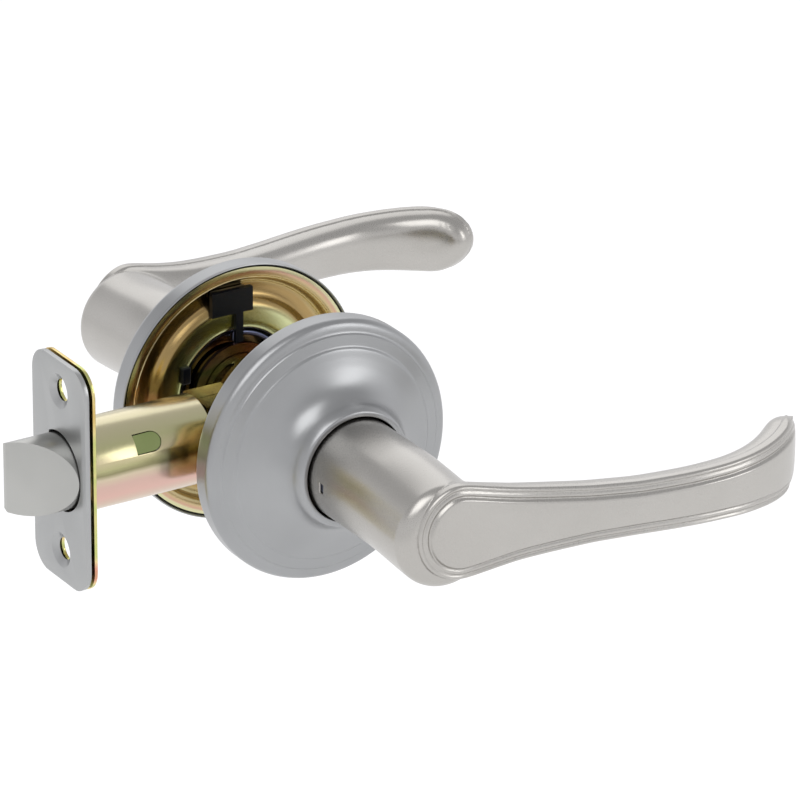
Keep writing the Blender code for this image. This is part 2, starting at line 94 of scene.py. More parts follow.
def lamp(name, place, target, size, power):
    data = bpy.data.lights.new(name, "AREA")
    data.shape = "RECTANGLE"
    data.size, data.size_y = size
    data.energy = power
    obj = bpy.data.objects.new(name, data)
    obj.location = place
    obj.rotation_euler = (Vector(target) - Vector(place)).to_track_quat("-Z", "Y").to_euler()
    bpy.context.scene.collection.objects.link(obj)


def sky():
    world = bpy.data.worlds.new("studio")
    bpy.context.scene.world = world
    world.use_nodes = True
    tree = world.node_tree
    background = tree.nodes["Background"]
    where = tree.nodes.new("ShaderNodeTexCoord")
    split = tree.nodes.new("ShaderNodeSeparateXYZ")
    ramp = tree.nodes.new("ShaderNodeValToRGB")
    while len(ramp.color_ramp.elements) < len(SKY_TONES):
        ramp.color_ramp.elements.new(0.5)
    for element, (place, tone) in zip(ramp.color_ramp.elements, SKY_TONES):
        element.position = place
        element.color = (tone, tone, tone * SKY_BLUE, 1)
    tree.links.new(where.outputs["Generated"], split.inputs["Vector"])
    tree.links.new(split.outputs["Z"], ramp.inputs["Fac"])
    tree.links.new(ramp.outputs["Color"], background.inputs["Color"])


def pale_floor():
    """A plain pale floor that glows a little, so that it reads as white."""
    bm = bmesh.new()
    bmesh.ops.create_grid(bm, x_segments=1, y_segments=1, size=6)
    mesh = bpy.data.meshes.new("floor")
    bm.to_mesh(mesh)
    bm.free()
    floor = bpy.data.objects.new("floor", mesh)
    floor.location.z = FLOOR_Z
    bpy.context.scene.collection.objects.link(floor)
    mat = bpy.data.materials.new("floor")
    mat.use_nodes = True
    shader = mat.node_tree.nodes["Principled BSDF"]
    shader.inputs["Base Color"].default_value = (0.85, 0.85, 0.85, 1)
    shader.inputs["Roughness"].default_value = 0.9
    shader.inputs["Emission Color"].default_value = (1, 1, 1, 1)
    shader.inputs["Emission Strength"].default_value = FLOOR_GLOW
    mesh.materials.append(mat)


def studio():
    bpy.context.scene.view_settings.view_transform = "Standard"
    sky()
    pale_floor()
    for row in LAMPS:
        lamp(*row)


# ---------------------------------------------------------------- materials


GRAIN_DEPTH = 0.00004
ZINC_GRAIN = 1400.0


class Nodes:
    """A short way to make one material's node tree."""

    def __init__(self, name):
        self.mat = bpy.data.materials.new(name)
        self.mat.use_nodes = True
        self.tree = self.mat.node_tree
        self.shader = self.tree.nodes["Principled BSDF"]

    def add(self, kind, **inputs):
        node = self.tree.nodes.new(kind)
        for key, value in inputs.items():
            node.inputs[key.replace("_", " ")].default_value = value
        return node

    def join(self, source, output, target, socket):
        self.tree.links.new(source.outputs[output], target.inputs[socket])

    def noise(self, scale, detail, stretch=(1, 1, 1)):
        where = self.add("ShaderNodeTexCoord")
        mapping = self.add("ShaderNodeMapping", Scale=stretch)
        self.join(where, "Object", mapping, "Vector")
        noise = self.add("ShaderNodeTexNoise", Scale=scale, Detail=detail)
        self.join(mapping, "Vector", noise, "Vector")
        return noise

    def ramp(self, stops):
        node = self.add("ShaderNodeValToRGB")
        ramp = node.color_ramp
        while len(ramp.elements) < len(stops):
            ramp.elements.new(0.5)
        for element, (place, colour) in zip(ramp.elements, stops):
            element.position = place
            element.color = (*colour, 1)
        return node

    def bump(self, source, output, strength, distance):
        node = self.add("ShaderNodeBump", Strength=strength, Distance=distance)
        self.join(source, output, node, "Height")
        self.join(node, "Normal", self.shader, "Normal")

    def roughness(self, source, low, high):
        node = self.add("ShaderNodeMapRange")
        node.inputs["To Min"].default_value = low
        node.inputs["To Max"].default_value = high
        self.join(source, "Fac", node, "Value")
        self.join(node, "Result", self.shader, "Roughness")


def plated(name, dark, light, rough, grain=5200.0, stretch=(1, 1, 1), bump=0.03):
    """Satin plating: cloudy tone, fine grain in roughness and bump."""
    made = Nodes(name)
    cloud = made.noise(28.0, 3.0)
    tone = made.ramp([(0.35, dark), (0.65, light)])
    made.join(cloud, "Fac", tone, "Fac")
    made.join(tone, "Color", made.shader, "Base Color")
    fine = made.noise(grain, 3.0, stretch)
    made.roughness(fine, rough - 0.05, rough + 0.06)
    made.bump(fine, "Fac", bump, GRAIN_DEPTH)
    made.shader.inputs["Metallic"].default_value = 1.0
    return made.mat


def zinc(made, tone, low, high):
    """The bright metal under a chromate film, with the film's tone and a range of roughness."""
    made.join(tone, "Color", made.shader, "Base Color")
    fine = made.noise(ZINC_GRAIN, 3.0)
    made.roughness(fine, low, high)
    made.bump(fine, "Fac", 0.05, GRAIN_DEPTH)
    made.shader.inputs["Metallic"].default_value = 1.0
    return made.mat


def chromate(name, scale, deep=1.0):
    """Yellow zinc chromate: a thin film whose colour runs from gold to green, pink and brown."""
    made = Nodes(name)
    film = made.noise(scale, 2.5)
    film.inputs["Distortion"].default_value = 0.6
    stops = [
        (0.26, (0.30, 0.16, 0.06)),
        (0.38, (0.62, 0.44, 0.15)),
        (0.46, (0.74, 0.62, 0.28)),
        (0.52, (0.52, 0.56, 0.20)),
        (0.58, (0.76, 0.60, 0.30)),
        (0.66, (0.66, 0.30, 0.22)),
        (0.74, (0.50, 0.34, 0.12)),
    ]
    tone = made.ramp([(place, tuple(c * deep for c in colour)) for place, colour in stops])
    made.join(film, "Fac", tone, "Fac")
    return zinc(made, tone, 0.14, 0.26)


def chromate_and_painted_light(name, stops, axes, shift, reach):
    """Chromate whose colour changes with distance from a point, along the axes that are given; the
    stops carry the film's tones together with painted highlights, painted reflections and painted
    shade.
    """
    wander = 0.0012
    made = Nodes(name)
    where = made.add("ShaderNodeTexCoord")
    place = made.add("ShaderNodeMapping", Scale=axes, Location=shift)
    made.join(where, "Object", place, "Vector")
    far = made.add("ShaderNodeVectorMath")
    far.operation = "LENGTH"
    made.join(place, "Vector", far, 0)
    film = made.noise(90.0, 2.5)
    drift = made.add("ShaderNodeMath")
    drift.operation = "MULTIPLY_ADD"
    drift.inputs[1].default_value = wander
    made.join(film, "Fac", drift, 0)
    made.join(far, "Value", drift, 2)
    spread = made.add("ShaderNodeMapRange")
    spread.inputs["From Min"].default_value = wander / 2
    spread.inputs["From Max"].default_value = reach + wander / 2
    made.join(drift, "Value", spread, "Value")
    tone = made.ramp(stops)
    made.join(spread, "Result", tone, "Fac")
    return zinc(made, tone, 0.16, 0.28)


def plastic(name, colour, rough):
    """Moulded plastic with a fine grain and a weak gloss."""
    made = Nodes(name)
    fine = made.noise(1800.0, 3.0)
    dark = tuple(c * 0.8 for c in colour)
    tone = made.ramp([(0.4, dark), (0.6, colour)])
    made.join(fine, "Fac", tone, "Fac")
    made.join(tone, "Color", made.shader, "Base Color")
    made.roughness(fine, rough - 0.05, rough + 0.08)
    made.bump(fine, "Fac", 0.12, 0.00005)
    made.shader.inputs["Specular IOR Level"].default_value = 0.25
    return made.mat


LEVER = plated("lever_satin_nickel", (0.45, 0.435, 0.41), (0.49, 0.475, 0.45), 0.28)
ROSE = plated("rosette_satin_nickel", (0.34, 0.345, 0.35), (0.38, 0.385, 0.39), 0.32)
PLATE = plated(
    "plate_satin", (0.38, 0.385, 0.385), (0.44, 0.445, 0.44), 0.32, grain=1500, stretch=(1, 1, 6)
)
BOLT = plated(
    "bolt_satin",
    (0.40, 0.40, 0.385),
    (0.48, 0.48, 0.46),
    0.30,
    grain=1300,
    stretch=(1, 6, 6),
    bump=0.10,
)
STEEL = plated("bright_steel", (0.60, 0.60, 0.62), (0.68, 0.68, 0.70), 0.26)
SPRING = plated("spring_steel", (0.06, 0.07, 0.11), (0.11, 0.12, 0.19), 0.28)
GOLD = chromate("yellow_chromate", 55.0)
# From the tube's underside to its top: the chromate film's gold, pink and green tones in bands by
# height, partly painted light: a painted pink reflection on the lower half, a painted dark band just
# above the middle and a painted cream highlight along the top.
TUBE_FILM_AND_PAINTED_LIGHT = [
    (0.0, (0.52, 0.43, 0.30)),
    (0.14, (0.60, 0.47, 0.36)),
    (0.28, (0.66, 0.43, 0.37)),
    (0.42, (0.61, 0.42, 0.36)),
    (0.52, (0.60, 0.51, 0.37)),
    (0.57, (0.30, 0.28, 0.15)),
    (0.62, (0.50, 0.48, 0.25)),
    (0.72, (0.62, 0.54, 0.34)),
    (0.84, (0.54, 0.53, 0.29)),
    (1.0, (0.64, 0.58, 0.40)),
]
# From the spindle's axis to the rosette's wall: the chromate film's tones in rings by radius, partly
# painted light: a near-black painted shade ring at the spring well's inner wall, under the coil, and
# a painted gold highlight ring on the rib's outer shoulder.
LINER_FILM_AND_PAINTED_LIGHT = [
    (0.30, (0.22, 0.15, 0.07)),
    (0.46, (0.05, 0.045, 0.045)),
    (0.50, (0.50, 0.53, 0.27)),
    (0.62, (0.58, 0.60, 0.33)),
    (0.67, (0.34, 0.24, 0.10)),
    (0.80, (0.38, 0.26, 0.11)),
    (0.86, (0.58, 0.50, 0.27)),
    (0.91, (0.56, 0.44, 0.24)),
    (0.935, (0.56, 0.34, 0.25)),
    (0.95, (0.62, 0.60, 0.36)),
]
# The tube's chromate, coloured by height, with its painted reflection, painted dark band and painted
# highlight.
TUBE_GOLD_PAINTED_LIGHT = chromate_and_painted_light(
    "tube_chromate_painted_light", TUBE_FILM_AND_PAINTED_LIGHT, (0, 0, 1), (0, 0, TUBE_HIGH.z * MM), 2 * TUBE_HIGH.z * MM
)
# The liner's chromate, in rings by radius, with a painted shade ring under the spring and a painted
# highlight ring on the rib.
LINER_GOLD_PAINTED_LIGHT = chromate_and_painted_light("liner_chromate_painted_light", LINER_FILM_AND_PAINTED_LIGHT, (1, 0, 1), (0, 0, 0), ROSETTE_R * MM)
DARK_GOLD = chromate("dark_chromate", 60.0, deep=0.6)
LANCE = plated("lance_chromate", (0.26, 0.33, 0.12), (0.42, 0.46, 0.22), 0.22)
BLACK = plastic("black_plastic", (0.004, 0.005, 0.008), 0.32)


# ---------------------------------------------------------------- mesh helpers


def piece(name, mesh, mat, body, node, angle=35):
    """A visible piece that rides on a body and stands for a CAD node, or for none."""
    obj = bpy.data.objects.new(name, mesh)
    bpy.context.scene.collection.objects.link(obj)
    mesh.materials.clear()
    mesh.materials.append(mat)
    mesh.shade_smooth()
    mesh.set_sharp_from_angle(angle=math.radians(angle))
    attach(obj, body)
    if node:
        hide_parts(node)


def baked(obj):
    """The object's evaluated mesh, and the object itself removed."""
    bpy.context.view_layer.update()
    graph = bpy.context.evaluated_depsgraph_get()
    mesh = bpy.data.meshes.new_from_object(obj.evaluated_get(graph))
    mesh.transform(obj.matrix_world)
    bpy.data.objects.remove(obj)
    return mesh


def loose(data):
    """A helper object for a mesh or curve, which baked() takes away again."""
    obj = bpy.data.objects.new("helper", data)
    bpy.context.scene.collection.objects.link(obj)
    return obj


def soften(obj, width, angle):
    """A rounded bevel on every edge sharper than the angle."""
    edge = obj.modifiers.new("soft edges", "BEVEL")
    edge.width = width * MM
    edge.segments = 3
    edge.limit_method = "ANGLE"
    edge.angle_limit = math.radians(angle)


def turned(profile, steps=160, sheet=0.0, closed=False):
    """A (radius, height) profile turned about Z, in metres, with an optional sheet thickness."""
    mesh = bpy.data.meshes.new("turned")
    last = len(profile) - 1
    edges = [(i, i + 1) for i in range(last)]
    if closed:
        edges.append((last, 0))
    mesh.from_pydata([(r * MM, 0, w * MM) for r, w in profile], edges, [])
    obj = loose(mesh)
    screw = obj.modifiers.new("turn", "SCREW")
    screw.steps = screw.render_steps = steps
    screw.use_merge_vertices = True
    screw.merge_threshold = 0.00001
    if sheet:
        skin = obj.modifiers.new("sheet", "SOLIDIFY")
        skin.thickness = sheet * MM
        skin.offset = -1
    return baked(obj)


def hermite(t):
    """Weights of the start, its slope, the end and its slope, at t along a cubic."""
    return 2 * t**3 - 3 * t**2 + 1, t**3 - 2 * t**2 + t, 3 * t**2 - 2 * t**3, t**3 - t**2


def smooth_profile(points, fine):
    """A Catmull-Rom curve through profile points, about fine mm apart; doubled points stay sharp."""
    tiny = 1e-6
    rows = []
    for i in range(len(points) - 1):
        p1 = Vector(points[i])
        p2 = Vector(points[i + 1])
        span = (p2 - p1).length
        if span < tiny:
            continue
        p0 = Vector(points[max(i - 1, 0)])
        p3 = Vector(points[min(i + 2, len(points) - 1)])
        m1 = (p2 - p0) / 2 if (p1 - p0).length > tiny else p2 - p1
        m2 = (p3 - p1) / 2 if (p3 - p2).length > tiny else p2 - p1
        m1 = m1.normalized() * span
        m2 = m2.normalized() * span
        count = max(1, int(span / fine))
        for j in range(count):
            a, b, c, d = hermite(j / count)
            rows.append(tuple(a * p1 + b * m1 + c * p2 + d * m2))
    rows.append(tuple(points[-1]))
    return rows


def arc(cx, cy, radius, start, end, count):
    """Points round a centre, from one angle to another in degrees."""
    found = []
    for i in range(count + 1):
        angle = math.radians(start + (end - start) * i / count)
        found.append((cx + radius * math.cos(angle), cy + radius * math.sin(angle)))
    return found


def prism(outline, low, high, axis="X"):
    """An outline of (y, z) or (x, z) points in mm, extruded along X or Y."""
    bm = bmesh.new()
    if axis == "X":
        corners = [bm.verts.new((low * MM, a * MM, b * MM)) for a, b in outline]
        step = Vector(((high - low) * MM, 0, 0))
    else:
        corners = [bm.verts.new((a * MM, low * MM, b * MM)) for a, b in outline]
        step = Vector((0, (high - low) * MM, 0))
    face = bm.faces.new(corners)
    grown = bmesh.ops.extrude_face_region(bm, geom=[face])
    moved = [item for item in grown["geom"] if isinstance(item, bmesh.types.BMVert)]
    bmesh.ops.translate(bm, verts=moved, vec=step)
    bmesh.ops.recalc_face_normals(bm, faces=bm.faces)
    mesh = bpy.data.meshes.new("prism")
    bm.to_mesh(mesh)
    bm.free()
    return mesh


def cone(start, end, radius, end_radius=None, sides=64):
    """A closed cylinder or cone between two points in mm."""
    start = Vector(start) * MM
    end = Vector(end) * MM
    along = end - start
    bm = bmesh.new()
    bmesh.ops.create_cone(
        bm,
        cap_ends=True,
        segments=sides,
        radius1=radius * MM,
        radius2=(radius if end_radius is None else end_radius) * MM,
        depth=along.length,
        matrix=Matrix.Translation((start + end) / 2)
        @ along.to_track_quat("Z", "Y").to_matrix().to_4x4(),
    )
    mesh = bpy.data.meshes.new("cone")
    bm.to_mesh(mesh)
    bm.free()
    return mesh


def block(low, high):
    """A closed box between two corners in mm."""
    low = Vector(low)
    high = Vector(high)
    bm = bmesh.new()
    grow = Matrix.Diagonal((*((high - low) * MM), 1))
    bmesh.ops.create_cube(bm, size=1, matrix=Matrix.Translation((low + high) / 2 * MM) @ grow)
    mesh = bpy.data.meshes.new("block")
    bm.to_mesh(mesh)
    bm.free()
    return mesh


def worked(mesh, cuts=(), bevel=0.0):
    """A mesh with other meshes cut from it and then its edges bevelled; the cutters are removed."""
    obj = loose(mesh)
    cutters = [loose(cut) for cut in cuts]
    for cutter in cutters:
        boolean = obj.modifiers.new("cut", "BOOLEAN")
        boolean.operation = "DIFFERENCE"
        boolean.solver = "EXACT"
        boolean.object = cutter
    if bevel:
        soften(obj, bevel, 32)
    mesh = baked(obj)
    for cutter in cutters:
        bpy.data.objects.remove(cutter)
    return mesh


def wire(points, radius):
    """A round wire through points in mm, with closed ends."""
    curve = bpy.data.curves.new("wire", "CURVE")
    curve.dimensions = "3D"
    curve.bevel_depth = radius * MM
    curve.bevel_resolution = 4
    curve.use_fill_caps = True
    spline = curve.splines.new("POLY")
    spline.points.add(len(points) - 1)
    for point, place in zip(spline.points, points):
        point.co = (*(Vector(place) * MM), 1)
    return baked(loose(curve))


def side_matrix(side):
    """From side coordinates to the part's frame."""
    place = Matrix.Translation((0, side * DOOR_HALF * MM, 0))
    return place @ Matrix.Rotation(-side * math.pi / 2, 4, "X")


# ---------------------------------------------------------------- lever

SHANK_R = 12.8
SHANK_START = 14.2
SHANK_BORE = 10.0
BORE_END = 42.0
# How far the shank's far end sags, so that it meets the drooping handle.
SHANK_SAG = 1.6
SHANK_CORNER = 3.4
# The catch's hole in the shank: its middle and its half-sizes.
CATCH_W = 23.5
HOLE_HALF_Y = 1.2
HOLE_HALF_W = 0.75
# Thickness of the handle before and behind its middle.
FRONT = 3.1
BACK = 6.0
# The raised field's rim: how much lower the border is, and where its step starts and ends.
RIM_STEP = 0.6
RIM_FROM = 2.5
RIM_TO = 3.4
# Lines pressed into the border: distance in from the outline, and depth.
GROOVES = ((1.25, 0.38), (2.9, 0.42))
GROOVE_WIDTH = 0.42
FRONT_CORNER = 1.1
# How far the raised field is crowned.
CROWN = 0.12
# The front's plate ends behind the middle, with its own corner.
EDGE_BACK = 0.7
EDGE_CORNER = 0.9
# The domed back: how square its section is, what scales its distance, and where it starts.
DOME_POWER = 3.2
DOME_SCALE = 6.5
DOME_START = 1.2
# Thinning before and behind, and rounding of the front corner, by the time the tip is reached.
TIP_FRONT = 1.5
TIP_BACK = 0.6
TIP_CORNER = 1.8
# Height over the middle that the shank and the dome stop at, under the front's plate.
UNDER_PLATE = 1.5
# How wide the handle's back flows into the shank.
BLEND = 8.0
# The box of the distance grid, and the grid's step.
GRID_LOW = (-15.0, -15.0, 12.0)
GRID_HIGH = (106.0, 15.0, 75.0)
GRID = 0.3
# Middle of the lever's thickness: place along it, x, height off the door, and how far it sags.
PATH = [
    (0.0, 0.0, 58.6, 0.0),
    (0.07, 8.5, 59.1, 0.7),
    (0.15, 18.0, 60.4, 1.0),
    (0.30, 36.0, 64.2, 1.3),
    (0.42, 50.0, 67.4, 1.4),
    (0.55, 65.0, 69.4, 1.45),
    (0.68, 78.0, 68.7, 1.5),
    (0.79, 88.0, 65.0, 1.5),
    (0.89, 95.6, 59.1, 1.2),
    (1.0, 100.6, 52.3, 0.3),
]
# Half-height of the lever at places along it.
HALF = [
    (0.0, 12.1),
    (0.035, 12.0),
    (0.07, 11.2),
    (0.10, 10.5),
    (0.15, 9.4),
    (0.22, 8.4),
    (0.30, 7.4),
    (0.40, 6.9),
    (0.51, 7.0),
    (0.60, 7.2),
    (0.70, 7.7),
    (0.80, 8.4),
    (0.9, 8.8),
    (1.0, 8.8),
]
# Where the head's round end is centred, and the length of the elliptical tip.
HEAD_S = 3.4
TIP_LONG = 12.0
TIP_SQUEEZE = HALF[-1][1] / TIP_LONG
STEPS = 260
# Points before the path's start, straight on, and how many neighbours soften the path's rows.
LEAD_STEPS = 32
LEAD_LONG = 16
SOFT_REACH = 9
# How far apart the readings for a slope and for a normal are.
SLOPE_REACH = 0.02
NORMAL_REACH = 0.12


def spline_rows(rows, keys):
    """Catmull-Rom readings of (key, value...) rows at many keys."""
    rows = np.array(rows)
    own = rows[:, 0]
    slopes = np.gradient(rows[:, 1:], own, axis=0)
    i = np.clip(np.searchsorted(own, keys, "right") - 1, 0, len(own) - 2)
    span = own[i + 1] - own[i]
    a, b, c, d = hermite(np.clip((keys - own[i]) / span, 0, 1)[:, None])
    span = span[:, None]
    rows = rows[:, 1:]
    return a * rows[i] + b * span * slopes[i] + c * rows[i + 1] + d * span * slopes[i + 1]


def softened(values, reach):
    """Values averaged with their neighbours."""
    weights = np.hanning(2 * reach + 3)
    return np.convolve(np.pad(values, reach + 1, "edge"), weights / weights.sum(), "valid")


def lever_path():
    """Points along the middle, their arc lengths, directions, half-heights and sags."""
    keys = np.linspace(0, 1, STEPS)
    rows = spline_rows(PATH, keys)
    middle = rows[:, :2]
    places, heights = np.array(HALF).T
    half = softened(np.interp(keys, places, heights), SOFT_REACH)
    sag = softened(rows[:, 2], SOFT_REACH)
    start = middle[1] - middle[0]
    start /= np.linalg.norm(start)
    lead = np.linspace(-LEAD_LONG, -0.5, LEAD_STEPS)[:, None] * start + middle[0]
    middle = np.concatenate([lead, middle])
    half = np.concatenate([np.full(len(lead), half[0]), half])
    sag = np.concatenate([np.full(len(lead), sag[0]), sag])
    steps = np.linalg.norm(np.diff(middle, axis=0), axis=1)
    length = np.concatenate([[0], np.cumsum(steps)])
    length -= length[len(lead)]
    along = np.gradient(middle, length, axis=0)
    along /= np.linalg.norm(along, axis=1)[:, None]
    return middle, length, along, half, sag


LEVER_PATH = lever_path()


def unroll(x, w):
    """Distance along the lever, height off its middle, half-height and sag, for places in its plane.

    It goes through the places in lots, because each lot is compared with the whole path at once.
    """
    middle, length, along, half, sag = LEVER_PATH
    lot = 20000
    s = np.empty(len(x))
    n = np.empty(len(x))
    h = np.empty(len(x))
    drop = np.empty(len(x))
    for start in range(0, len(x), lot):
        part = slice(start, start + lot)
        dx = x[part, None] - middle[None, :, 0]
        dw = w[part, None] - middle[None, :, 1]
        near = np.argmin(dx**2 + dw**2, axis=1)
        row = np.arange(len(near))
        tx, tw = along[near].T
        ahead = dx[row, near] * tx + dw[row, near] * tw
        s[part] = length[near] + ahead
        n[part] = dw[row, near] * tx - dx[row, near] * tw
        h[part] = np.interp(s[part], length, half)
        drop[part] = np.interp(s[part], length, sag)
    return s, n, h, drop


def ease(value, low, high):
    """A soft step from 0 at low to 1 at high."""
    t = np.clip((value - low) / (high - low), 0, 1)
    return t * t * (3 - 2 * t)


def rounded_corner(a, b, corner):
    """Distance to a corner between two faces at distances a and b, rounded."""
    a = a + corner
    b = b + corner
    return np.hypot(np.maximum(a, 0), np.maximum(b, 0)) + np.minimum(np.maximum(a, b), 0) - corner


def lever_outline(s, up, h):
    """Distance outside the handle's outline, with a round head and an elliptical tip."""
    end = LEVER_PATH[1][-1] - TIP_LONG
    outline = np.where(s < HEAD_S, np.hypot(s - HEAD_S, up) - h, up - h)
    tip = np.maximum(np.hypot((s - end) * TIP_SQUEEZE, up), 0.1)
    slant = np.maximum(np.hypot((s - end) * TIP_SQUEEZE**2, up) / tip, TIP_SQUEEZE)
    return np.where(s > end, (tip - h) / slant, outline)


def paddle_depth(s, n, h, up):
    """Signed distance to the handle: a framed face in front and a domed back."""
    end = LEVER_PATH[1][-1] - TIP_LONG
    outline = lever_outline(s, up, h)
    inset = -outline
    thick = FRONT - TIP_FRONT * ease(s, end - 3, end + 11)
    worn = ease(s, end - 3, end + 7)
    relief = -RIM_STEP + RIM_STEP * ease(inset, RIM_FROM, RIM_TO)
    for place, depth in GROOVES:
        relief = relief - depth * np.exp(-(((inset - place) / GROOVE_WIDTH) ** 2))
    level = thick + relief * (1 - worn) + CROWN * ease(inset, 3.1, 6.5)
    plate = rounded_corner(outline, n - level, FRONT_CORNER + TIP_CORNER * worn)
    plate = np.maximum(plate, rounded_corner(outline, -EDGE_BACK - n, EDGE_CORNER))
    back = BACK - TIP_BACK * ease(s, end - 7, end + 9)
    across = np.maximum(outline + h, 0) / (h - 0.3)
    behind = np.maximum(DOME_START - n, 0) / (DOME_START + back)
    dome = (across**DOME_POWER + behind**DOME_POWER) ** (1 / DOME_POWER)
    return np.minimum(plate, np.maximum((dome - 1) * DOME_SCALE, n - UNDER_PLATE))


def lever_depth(s, n, h, drop, x, y, w):
    """Signed distance in mm, negative inside the lever."""
    paddle = paddle_depth(s, n, h, np.abs(y + drop))
    low_end = y + SHANK_SAG * ease(w, 36, 60)
    shank = rounded_corner(np.hypot(x, low_end) - SHANK_R, n - UNDER_PLATE, SHANK_CORNER)
    # The handle's back flows into the shank, and its front stands clear of it.
    fillet = BLEND * ease(x, 2.5, 13) * ease(-n, -0.5, 2.5)
    k = 0.05 + fillet * (1 - 0.85 * ease(np.abs(y), 4, 11))
    mix = np.clip(0.5 + 0.5 * (shank - paddle) / k, 0, 1)
    body = shank + (paddle - shank) * mix - k * mix * (1 - mix)
    body = np.maximum(body, SHANK_START - w)
    bore = np.maximum(np.hypot(x, y) - SHANK_BORE, w - BORE_END)
    hole = np.maximum(np.abs(y) - HOLE_HALF_Y, np.abs(w - CATCH_W) - HOLE_HALF_W)
    hole = np.maximum(hole, x)
    return np.maximum(body, np.maximum(-bore, -hole))


def surface_nets(values, low, step):
    """A quad mesh on the zero level of a grid of values."""
    inside = values < 0
    shape = tuple(n - 1 for n in values.shape)
    total = np.zeros((*shape, 3))
    count = np.zeros(shape)
    crossings = []
    for axis in range(3):
        one = [slice(None)] * 3
        two = [slice(None)] * 3
        one[axis] = slice(None, -1)
        two[axis] = slice(1, None)
        a, b = values[tuple(one)], values[tuple(two)]
        hit = np.argwhere((a < 0) != (b < 0))
        va, vb = a[tuple(hit.T)], b[tuple(hit.T)]
        point = hit.astype(float)
        point[:, axis] += va / (va - vb)
        others = [i for i in range(3) if i != axis]
        crossings.append((axis, others, hit))
        for da in (0, 1):
            for db in (0, 1):
                cell = hit.copy()
                cell[:, others[0]] -= da
                cell[:, others[1]] -= db
                np.add.at(total, tuple(cell.T), point)
                np.add.at(count, tuple(cell.T), 1)
    used = count > 0
    index = np.full(shape, -1)
    index[used] = np.arange(used.sum())
    points = total[used] / count[used][:, None] * step + low
    quads = []
    for axis, others, hit in crossings:
        cells = []
        for da, db in ((0, 0), (1, 0), (1, 1), (0, 1)):
            cell = hit.copy()
            cell[:, others[0]] -= da
            cell[:, others[1]] -= db
            cells.append(index[tuple(cell.T)])
        quad = np.stack(cells, 1)
        flip = inside[tuple(hit.T)] == (axis == 1)
        quad[flip] = quad[flip][:, ::-1]
        quads.append(quad)
    return points, np.concatenate(quads)


def lever_field(points):
    """The lever's signed distance at a list of points."""
    flat = unroll(points[:, 0], points[:, 2])
    return lever_depth(*flat, points[:, 0], points[:, 1], points[:, 2])


def field_slope(points, small):
    """Slope of the distance at points, by differences over small mm each way."""
    slope = np.empty_like(points)
    for axis, step in enumerate(np.eye(3) * small):
        slope[:, axis] = (lever_field(points + step) - lever_field(points - step)) / (2 * small)
    return slope


def lever_mesh():
    """The lever in side coordinates, and its normals: nets pulled on to the distance's zero level."""
    axes = [np.arange(a, b, GRID) for a, b in zip(GRID_LOW, GRID_HIGH)]
    gx, gw = np.meshgrid(axes[0], axes[2], indexing="ij")
    flat = unroll(gx.ravel(), gw.ravel())
    flat = [row.reshape(gx.shape)[:, None, :] for row in flat]
    y = axes[1][None, :, None]
    values = lever_depth(*flat, gx[:, None, :], y, gw[:, None, :])
    points, quads = surface_nets(values, np.array(GRID_LOW), GRID)
    for _ in range(3):
        depth = lever_field(points)
        slope = field_slope(points, SLOPE_REACH)
        size = np.maximum((slope**2).sum(axis=1), 0.3)
        step = np.clip(depth / size, -GRID / 2, GRID / 2)
        points = points - 0.9 * step[:, None] * slope
    mesh = bpy.data.meshes.new("lever")
    mesh.from_pydata((points * MM).tolist(), [], quads.tolist())
    normals = field_slope(points, NORMAL_REACH)
    return mesh, normals / np.maximum(np.linalg.norm(normals, axis=1), 1e-6)[:, None]


def levers():
    """Both levers, with normals from the distance, so that their narrow lines shade evenly."""
    base, slopes = lever_mesh()
    for side, name in SIDES:
        mesh = base.copy()
        normals = slopes
        if side > 0:
            mesh.transform(Matrix.Scale(-1, 4, (0, 1, 0)))
            mesh.flip_normals()
            normals = slopes * (1, -1, 1)
        where = side_matrix(side)
        mesh.transform(where)
        normals = normals @ np.array(where.to_3x3()).T
        node = name + "_lever"
        piece(node + "_cast", mesh, LEVER, node + "_group", node, 60)
        mesh.normals_split_custom_set_from_vertices(normals.tolist())


# ---------------------------------------------------------------- rosettes and liners

COLLAR_R = 13.6
COLLAR_W = 18.3
ROSETTE_SHEET = 0.7
WALL_TOP = 4.3
# Two holes in each liner: round the posts on the outside, and round their screws on the inside.
POST_X = 19.6
POST_HOLE_R = {"outside": 2.7, "inside": 1.8}
# A small notch in the liner's rim.
NOTCH_LOW = (14.0, 26.0, -1)
NOTCH_HIGH = (17.5, 33.0, 1.2)
# A small tab on the liner beside the spring, for the trim whose y is up.
TAB_LOW = (-16.0, 5.0, 0.5)
TAB_HIGH = (-13.6, 9.4, 3.6)


def rosette_mesh():
    """Spun cover from its collar, down the cove and over two rings, to the rim's wall."""
    profile = [(COLLAR_R - 0.3, COLLAR_W - 1.2), (COLLAR_R - 0.35, COLLAR_W - 0.45)]
    profile += [(COLLAR_R - 0.15, COLLAR_W - 0.05), (14.1, COLLAR_W), (14.6, COLLAR_W - 0.15)]
    profile += [(15.0, COLLAR_W - 0.7), (15.4, 16.6), (15.9, 15.0), (16.7, 13.4), (17.9, 11.9)]
    profile += [(19.6, 10.6), (22.0, 9.4), (24.4, 8.55), (26.4, 7.95), (26.75, 7.8), (26.95, 7.5)]
    profile += [(27.2, 7.35), (27.2, 7.35), (29.6, 6.85), (29.6, 6.85), (29.85, 6.8), (30.05, 6.5)]
    profile += [(30.4, 6.3), (31.2, 6.15), (32.0, 5.9), (32.6, 5.5), (33.0, 4.9)]
    profile += [(ROSETTE_R, WALL_TOP), (ROSETTE_R, WALL_TOP), (ROSETTE_R, 0.5), (ROSETTE_R, 0.5)]
    profile += [(ROSETTE_R - 0.12, 0.1), (ROSETTE_R - 0.3, 0)]
    return turned(smooth_profile(profile, 0.25), sheet=ROSETTE_SHEET)


